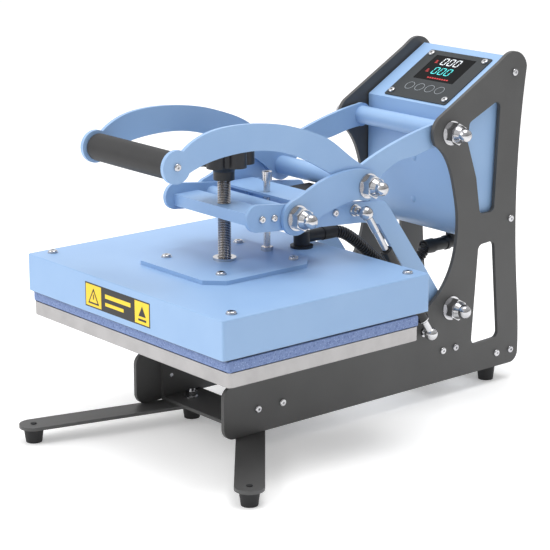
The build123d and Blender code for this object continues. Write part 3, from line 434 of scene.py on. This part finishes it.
for ring in range(len(profile) - 1):
    for turn in range(grip_around):
        after = (turn + 1) % grip_around
        low = ring * grip_around
        high = low + grip_around
        faces.append((low + turn, low + after, high + after, high + turn))
sleeve = piece_from("grip_sleeve", corners, faces, grip_foam, smooth=True)
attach(sleeve, "lever")
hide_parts("grip")

# %% [markdown]
# ## The pad
# The silicone foam pad is a soft slab, so its edges are rolled by a generous bevel.

# %% Pad slab
pad_low, pad_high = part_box("silicone_pad")
pad = block("pad_slab", pad_low, pad_high, pad_foam, round_by=0.0025, segments=4)
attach(pad, "frame")
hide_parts("silicone_pad")

# %% [markdown]
# ## The ribbed hose
# A corrugated nylon hose takes the heater's wires from the elbow on the head down to the gland under the
# control box. Ribs that repeat along a path are work for Geometry Nodes: the tree sweeps a core along the
# curve and sets one ring on each step of it. The hose hangs between two fixed ends.


# %% Tree helpers
def new_tree(name, source, sizes):
    """Geometry Nodes tree that takes a geometry, some sizes and a finish, and gives a mesh."""
    tree = bpy.data.node_groups.new(name, "GeometryNodeTree")
    add_socket = tree.interface.new_socket
    add_socket(source, in_out="INPUT", socket_type="NodeSocketGeometry")
    for label in sizes:
        add_socket(label, in_out="INPUT", socket_type="NodeSocketFloat")
    add_socket("Finish", in_out="INPUT", socket_type="NodeSocketMaterial")
    add_socket("Mesh", in_out="OUTPUT", socket_type="NodeSocketGeometry")
    return tree, tree.nodes.new("NodeGroupInput").outputs


def ring_of(tree, points, radius):
    """Circle with so many points, its radius taken from another node."""
    ring = tree.nodes.new("GeometryNodeCurvePrimitiveCircle")
    ring.inputs["Resolution"].default_value = points
    tree.links.new(radius, ring.inputs["Radius"])
    return ring.outputs["Curve"]


def swept(tree, path, section, caps=False):
    """Section swept along a path."""
    sweep = tree.nodes.new("GeometryNodeCurveToMesh")
    sweep.inputs["Fill Caps"].default_value = caps
    tree.links.new(path, sweep.inputs["Curve"])
    tree.links.new(section, sweep.inputs["Profile Curve"])
    return sweep.outputs["Mesh"]


def finished(tree, made, finish):
    """The tree with its last nodes: instances made real, the finish laid on, and the output."""
    real = tree.nodes.new("GeometryNodeRealizeInstances")
    dress = tree.nodes.new("GeometryNodeSetMaterial")
    result = tree.nodes.new("NodeGroupOutput")
    tree.links.new(made, real.inputs["Geometry"])
    tree.links.new(real.outputs["Geometry"], dress.inputs["Geometry"])
    tree.links.new(finish, dress.inputs["Material"])
    tree.links.new(dress.outputs["Geometry"], result.inputs["Mesh"])
    return tree


# %% Hose tree
HOSE_SIZES = {"Rib spacing": 0.0042, "Core radius": 0.0056, "Rib radius": 0.0063, "Rib size": 0.0014}
HOSE_ROUND = 20
WIRE_ROUND = 6


def rib_tree():
    """Tree that sweeps a core along a curve and sets a ring at every step of it."""
    tree, given = new_tree("ribbed_hose", "Curve", HOSE_SIZES)
    add = tree.nodes.new
    link = tree.links.new
    core = swept(tree, given["Curve"], ring_of(tree, HOSE_ROUND, given["Core radius"]), caps=True)
    rib_ring = ring_of(tree, HOSE_ROUND, given["Rib radius"])
    rib = swept(tree, rib_ring, ring_of(tree, WIRE_ROUND, given["Rib size"]))
    steps = add("GeometryNodeCurveToPoints")
    steps.mode = "LENGTH"
    link(given["Curve"], steps.inputs["Curve"])
    link(given["Rib spacing"], steps.inputs["Length"])
    ribs = add("GeometryNodeInstanceOnPoints")
    link(steps.outputs["Points"], ribs.inputs["Points"])
    link(rib, ribs.inputs["Instance"])
    link(steps.outputs["Rotation"], ribs.inputs["Rotation"])
    both = add("GeometryNodeJoinGeometry")
    link(core, both.inputs["Geometry"])
    link(ribs.outputs["Instances"], both.inputs["Geometry"])
    return finished(tree, both.outputs["Geometry"], given["Finish"])


def grown(name, source, tree, values):
    """Plain mesh object from a source object with a tree's modifier on it, which is then removed."""
    modifier = source.modifiers.new("grow", "NODES")
    modifier.node_group = tree
    identifiers = {item.name: item.identifier for item in tree.interface.items_tree if item.in_out == "INPUT"}
    for label, value in values.items():
        modifier[identifiers[label]] = value
    ready = source.evaluated_get(bpy.context.evaluated_depsgraph_get())
    mesh = bpy.data.meshes.new_from_object(ready)
    mesh.name = name
    for polygon in mesh.polygons:
        polygon.use_smooth = True
    piece = bpy.data.objects.new(name, mesh)
    bpy.context.scene.collection.objects.link(piece)
    source.modifiers.remove(modifier)
    bpy.data.objects.remove(source)
    return piece


# %% Hose
ELBOW_END = Vector((0, 0.176, 0.059))
GLAND_MOUTH = Vector((0, 0.334, 0.013))
hose_points = [
    ELBOW_END - Vector((0, 0.004, 0)),
    ELBOW_END + Vector((0, 0.010, -0.001)),
    Vector((0, 0.210, 0.043)),
    Vector((0, 0.238, 0.019)),
    Vector((0, 0.266, -0.006)),
    Vector((0, 0.292, -0.015)),
    Vector((0, 0.313, -0.009)),
    Vector((0, 0.325, 0.004)),
    GLAND_MOUTH,
]
hose_line = bpy.data.curves.new("hose_line", "CURVE")
hose_line.dimensions = "3D"
hose_spline = hose_line.splines.new("NURBS")
hose_spline.points.add(len(hose_points) - 1)
for control, spot in zip(hose_spline.points, hose_points):
    control.co = (*spot, 1.0)
hose_spline.order_u = 3
hose_spline.use_endpoint_u = True
hose_spline.resolution_u = 12
hose_source = bpy.data.objects.new("hose_line", hose_line)
bpy.context.scene.collection.objects.link(hose_source)
hose = grown("ribbed_hose", hose_source, rib_tree(), {**HOSE_SIZES, "Finish": hose_nylon})
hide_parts("hose")
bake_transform(hose)
print("hose:", len(hose.data.polygons), "faces")

# %% [markdown]
# ## The label on the front
# A yellow label warns of the hot head. Here it is generic: a black border, a triangle and two bars, with no
# lettering. Film that thin is built as very flat blocks, each a hair above the one below.

# %% Label
label_yellow = surface(
    "label_yellow", paint(252, 214, 38), paint(246, 206, 30), 0.38, grain=1500, lift=0.02
)
label_black = surface("label_black", paint(22, 21, 20), paint(16, 15, 15), 0.4, grain=1500, lift=0.02)
cover_low, cover_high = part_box("heater_cover")
front_y = cover_low[1]
LABEL_LEFT, LABEL_RIGHT, LABEL_LOW, LABEL_HIGH = -0.068, 0.058, 0.009, 0.038
EDGE = 0.0016
LAYER = 0.00012
SIGN_MIDDLE, ARROW_MIDDLE = -0.0512, 0.0435


def film(name, left, right, low, high, layer, material):
    """Flat block on the cover's front face, in the given layer."""
    outer = front_y - LAYER * layer
    return block(name, (left, outer, low), (right, front_y, high), material)


def triangle_film(name, middle, low, height, layer, material):
    """Flat triangle on the cover's front face."""
    outer = front_y - LAYER * layer
    half = height * 0.58
    flat = [(middle - half, low), (middle + half, low), (middle, low + height)]
    corners = [(x, front_y, z) for x, z in flat] + [(x, outer, z) for x, z in flat]
    faces = [(0, 1, 2), (5, 4, 3), (0, 3, 4, 1), (1, 4, 5, 2), (2, 5, 3, 0)]
    piece = piece_from(name, corners, faces, material)
    form = bmesh.new()
    form.from_mesh(piece.data)
    bmesh.ops.recalc_face_normals(form, faces=form.faces[:])
    form.to_mesh(piece.data)
    form.free()
    return piece


label_parts = [
    film("label_edge", LABEL_LEFT, LABEL_RIGHT, LABEL_LOW, LABEL_HIGH, 1, label_black),
    film("label_left", LABEL_LEFT + EDGE, -0.036, LABEL_LOW + EDGE, LABEL_HIGH - EDGE, 2, label_yellow),
    film("label_middle", -0.0345, 0.028, LABEL_LOW + EDGE, LABEL_HIGH - EDGE, 2, label_black),
    film("label_right", 0.0295, LABEL_RIGHT - EDGE, LABEL_LOW + EDGE, LABEL_HIGH - EDGE, 2, label_yellow),
    triangle_film("label_sign", SIGN_MIDDLE, 0.0135, 0.019, 3, label_black),
    triangle_film("label_sign_inner", SIGN_MIDDLE, 0.0156, 0.0135, 4, label_yellow),
    film("label_mark", -0.0521, -0.0503, 0.0192, 0.0252, 5, label_black),
    film("label_bar_high", -0.028, 0.0215, 0.0255, 0.0305, 3, label_yellow),
    film("label_bar_low", -0.028, 0.008, 0.0165, 0.0205, 3, label_yellow),
    film("label_stroke_a", 0.036, 0.051, 0.014, 0.0165, 3, label_black),
    triangle_film("label_arrow", ARROW_MIDDLE, 0.0195, 0.012, 3, label_black),
]
label = joined("front_label", label_parts)
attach(label, "upper_platen")

# %% [markdown]
# ## The control panel
# The panel leans back by 30 degrees. A placement matrix carries flat work onto it: local X runs across, local
# Y up the slope and local Z out of the panel. The display shows two rows of three digits, each made
# of up to seven bars, and below it four round keys are printed as pale rings.

# %% Panel placement
slope = radians(30)
PANEL_FOOT = (0, 0.3087, 0.2067)
panel = Matrix.Translation(PANEL_FOOT) @ Matrix.Rotation(slope, 4, "X")
SEGMENTS = {
    "top": (0.5, 1.0, True), "high_left": (0.0, 0.75, False), "high_right": (1.0, 0.75, False),
    "middle": (0.5, 0.5, True), "low_left": (0.0, 0.25, False), "low_right": (1.0, 0.25, False),
    "bottom": (0.5, 0.0, True),
}  # fmt: skip
ZERO = ["top", "high_left", "high_right", "low_left", "low_right", "bottom"]


def glow(name, colour, strength):
    """Lit display colour."""
    material = surface(name, colour, colour, 0.4, lift=0.0)
    shader = material.node_tree.nodes["Principled BSDF"]
    shader.inputs["Emission Color"].default_value = colour
    shader.inputs["Emission Strength"].default_value = strength
    return material


lit_white = glow("lit_white", paint(225, 230, 235), 0.6)
lit_teal = glow("lit_teal", paint(70, 205, 205), 0.7)
lit_red = glow("lit_red", paint(188, 40, 44), 0.3)
DIGIT_W, DIGIT_H, BAR = 0.0070, 0.0124, 0.0012
GLASS_TOP = 0.001
FILM = 0.00008
SLANT = 0.0012


def digit(name, left, low, segments, material):
    """Digit of flat bars that leans a little, on the display."""
    bars = []
    for key in segments:
        across, up, lies = SEGMENTS[key]
        x = left + across * DIGIT_W + up * SLANT
        y = low + up * DIGIT_H
        half_x = DIGIT_W * 0.42 if lies else BAR / 2
        half_y = BAR / 2 if lies else DIGIT_H * 0.21
        low_corner = (x - half_x, y - half_y, GLASS_TOP)
        high_corner = (x + half_x, y + half_y, GLASS_TOP + FILM)
        bars.append(block(f"{name}_{key}", low_corner, high_corner, material, placed=panel))
    return joined(name, bars)


def red_bar(name, left, low, wide, tall):
    """Red bar that lies flat on the display."""
    high_corner = (left + wide, low + tall, GLASS_TOP + FILM)
    return block(name, (left, low, GLASS_TOP), high_corner, lit_red, placed=panel)


# %% Display
DIGIT_LEFT, DIGIT_STEP = -0.0175, 0.0113
MARK_LEFT, MARK_STEP = -0.0285, 0.0022
DASH_LEFT, DASH_STEP = -0.0155, 0.0042
rows = []
for row, (low, material) in enumerate(((0.0703, lit_white), (0.0515, lit_teal))):
    for place in range(3):
        left = DIGIT_LEFT + place * DIGIT_STEP
        rows.append(digit(f"row{row}_digit{place}", left, low, ZERO, material))
for mark, low in enumerate((0.0720, 0.0535)):
    for line in range(3):
        wide = 0.005 - line * 0.001
        rows.append(red_bar(f"mark{mark}_{line}", MARK_LEFT, low + line * MARK_STEP, wide, 0.001))
for dash in range(9):
    rows.append(red_bar(f"dash{dash}", DASH_LEFT + dash * DASH_STEP, 0.0422, 0.003, 0.0022))
readout = joined("display_readout", rows)
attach(readout, "frame")

# %% [markdown]
# ## Keys and rivets
# The four printed rings and the two pop rivets on the box's front are small things that repeat, so one tree
# sets an instance on every point of a mesh of loose points. The rings are flat, and the rivets are domes.


# %% Tree that sets a shape on points
DOME_FLATNESS = 0.42


def on_points_tree(name, dome):
    """Tree that sets a flat ring, or a low dome, on every point."""
    tree, given = new_tree(name, "Points", ("Radius", "Thickness", "Turn"))
    add = tree.nodes.new
    link = tree.links.new
    if dome:
        shape = add("GeometryNodeMeshUVSphere")
        shape.inputs["Segments"].default_value = 20
        shape.inputs["Rings"].default_value = 10
        link(given["Radius"], shape.inputs["Radius"])
        flatten = add("GeometryNodeTransform")
        flatten.inputs["Scale"].default_value = (1.0, 1.0, DOME_FLATNESS)
        link(shape.outputs["Mesh"], flatten.inputs["Geometry"])
        made = flatten.outputs["Geometry"]
    else:
        ring = ring_of(tree, 36, given["Radius"])
        made = swept(tree, ring, ring_of(tree, WIRE_ROUND, given["Thickness"]))
    lean = add("ShaderNodeCombineXYZ")
    link(given["Turn"], lean.inputs["X"])
    spread = add("GeometryNodeInstanceOnPoints")
    link(given["Points"], spread.inputs["Points"])
    link(made, spread.inputs["Instance"])
    link(lean.outputs["Vector"], spread.inputs["Rotation"])
    return finished(tree, spread.outputs["Instances"], given["Finish"])


# %% Keys and rivets
KEY_LEFT, KEY_STEP = -0.0284, 0.0177
key_spots = [panel @ Vector((KEY_LEFT + place * KEY_STEP, 0.0230, 0.0012)) for place in range(4)]
key_source = piece_from("key_spots", key_spots, [], overlay_film)
pale_print = surface("pale_print", paint(176, 182, 188), paint(168, 174, 180), 0.5)
keys = grown(
    "key_rings", key_source, on_points_tree("rings_on_points", False),
    {"Radius": 0.0067, "Thickness": 0.00028, "Turn": slope, "Finish": pale_print},
)  # fmt: skip
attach(keys, "frame")

box_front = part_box("control_box_shell")[0][1]
rivet_spots = [(0.005, box_front, 0.134), (0.005, box_front, 0.081)]
rivet_source = piece_from("rivet_spots", rivet_spots, [], blue_coat)
rivets = grown(
    "box_rivets", rivet_source, on_points_tree("domes_on_points", True),
    {"Radius": 0.0042, "Turn": pi / 2, "Finish": blue_coat},
)  # fmt: skip
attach(rivets, "frame")

# %% [markdown]
# ## Floor, light and camera
# The press stands on a plain pale floor under soft studio light: a bright world fills every shadow, and two
# large lamps, one in front and one above, model the front and top faces. The world is dimmer low down, which
# puts dark bands into the plating, and dimmer towards +X, so that the press's right side lies in half shade.

# %% Floor
floor_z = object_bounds()[0][2]
floor_finish = surface(
    "studio_floor", paint(252, 252, 252), paint(250, 250, 250), 0.85, grain=60, lift=0.0
)
FLOOR_REACH = 60
floor_corners = [
    (-FLOOR_REACH, -FLOOR_REACH, floor_z),
    (FLOOR_REACH, -FLOOR_REACH, floor_z),
    (FLOOR_REACH, FLOOR_REACH, floor_z),
    (-FLOOR_REACH, FLOOR_REACH, floor_z),
]
floor = piece_from("studio_floor", floor_corners, [(0, 1, 2, 3)], floor_finish)
floor_shader = floor_finish.node_tree.nodes["Principled BSDF"]
floor_shader.inputs["Emission Color"].default_value = (1.0, 1.0, 1.0, 1.0)
floor_shader.inputs["Emission Strength"].default_value = 0.25

# %% Light
SKY_LEVELS = ((0.3, 0.95), (0.5, 0.45), (0.56, 0.75), (0.64, 1.0))
LEFT_SKY, RIGHT_SKY = 1.16, 0.39
world = bpy.data.worlds.new("studio")
bpy.context.scene.world = world
world.use_nodes = True
sky = world.node_tree.nodes
heading = sky.new("ShaderNodeTexCoord")
parts_of_heading = sky.new("ShaderNodeSeparateXYZ")
bands = sky.new("ShaderNodeValToRGB")
for position, level in SKY_LEVELS:
    stop = bands.color_ramp.elements.new(position)
    stop.color = (level, level, level, 1.0)
height = sky.new("ShaderNodeMapRange")
height.inputs["From Min"].default_value = -1.0
world.node_tree.links.new(heading.outputs["Generated"], parts_of_heading.inputs["Vector"])
world.node_tree.links.new(parts_of_heading.outputs["Z"], height.inputs["Value"])
world.node_tree.links.new(height.outputs["Result"], bands.inputs["Fac"])
world.node_tree.links.new(bands.outputs["Color"], sky["Background"].inputs["Color"])
across = sky.new("ShaderNodeMapRange")
across.inputs["From Min"].default_value = -1.0
across.inputs["To Min"].default_value = LEFT_SKY
across.inputs["To Max"].default_value = RIGHT_SKY
world.node_tree.links.new(parts_of_heading.outputs["X"], across.inputs["Value"])
world.node_tree.links.new(across.outputs["Result"], sky["Background"].inputs["Strength"])


def soft_lamp(name, spot, size, power):
    """Large square lamp aimed at the machine's middle."""
    lamp = bpy.data.lights.new(name, "AREA")
    lamp.size = size
    lamp.energy = power
    holder = bpy.data.objects.new(name, lamp)
    bpy.context.scene.collection.objects.link(holder)
    aim = Vector((0, 0.1, 0.05)) - Vector(spot)
    holder.location = spot
    holder.rotation_euler = aim.to_track_quat("-Z", "Y").to_euler()


soft_lamp("lamp_front", (-0.9, -2.0, 1.5), 1.6, 20)
soft_lamp("lamp_top", (0.3, 0.3, 2.3), 1.5, 30)

# %% Camera
CAMERA_SPOT = (1.7786, -1.3975, 0.6437)
turn = radians(50.33)
tip = radians(15.02)
roll = radians(-0.12)
right = Vector((cos(turn), sin(turn), 0))
back = Vector((sin(turn) * cos(tip), -cos(turn) * cos(tip), sin(tip)))
up = back.cross(right)
lens = bpy.data.cameras.new("camera")
lens.lens = 130.3
lens.sensor_width = 36.0
lens.shift_x = 0.0051
lens.shift_y = -0.0055
lens.clip_start = 0.05
camera = bpy.data.objects.new("camera", lens)
bpy.context.scene.collection.objects.link(camera)
basis = Matrix((right, up, back)).transposed().to_4x4()
camera.matrix_world = Matrix.Translation(CAMERA_SPOT) @ basis @ Matrix.Rotation(roll, 4, "Z")
bpy.context.scene.camera = camera
bpy.context.scene.view_settings.view_transform = "Standard"
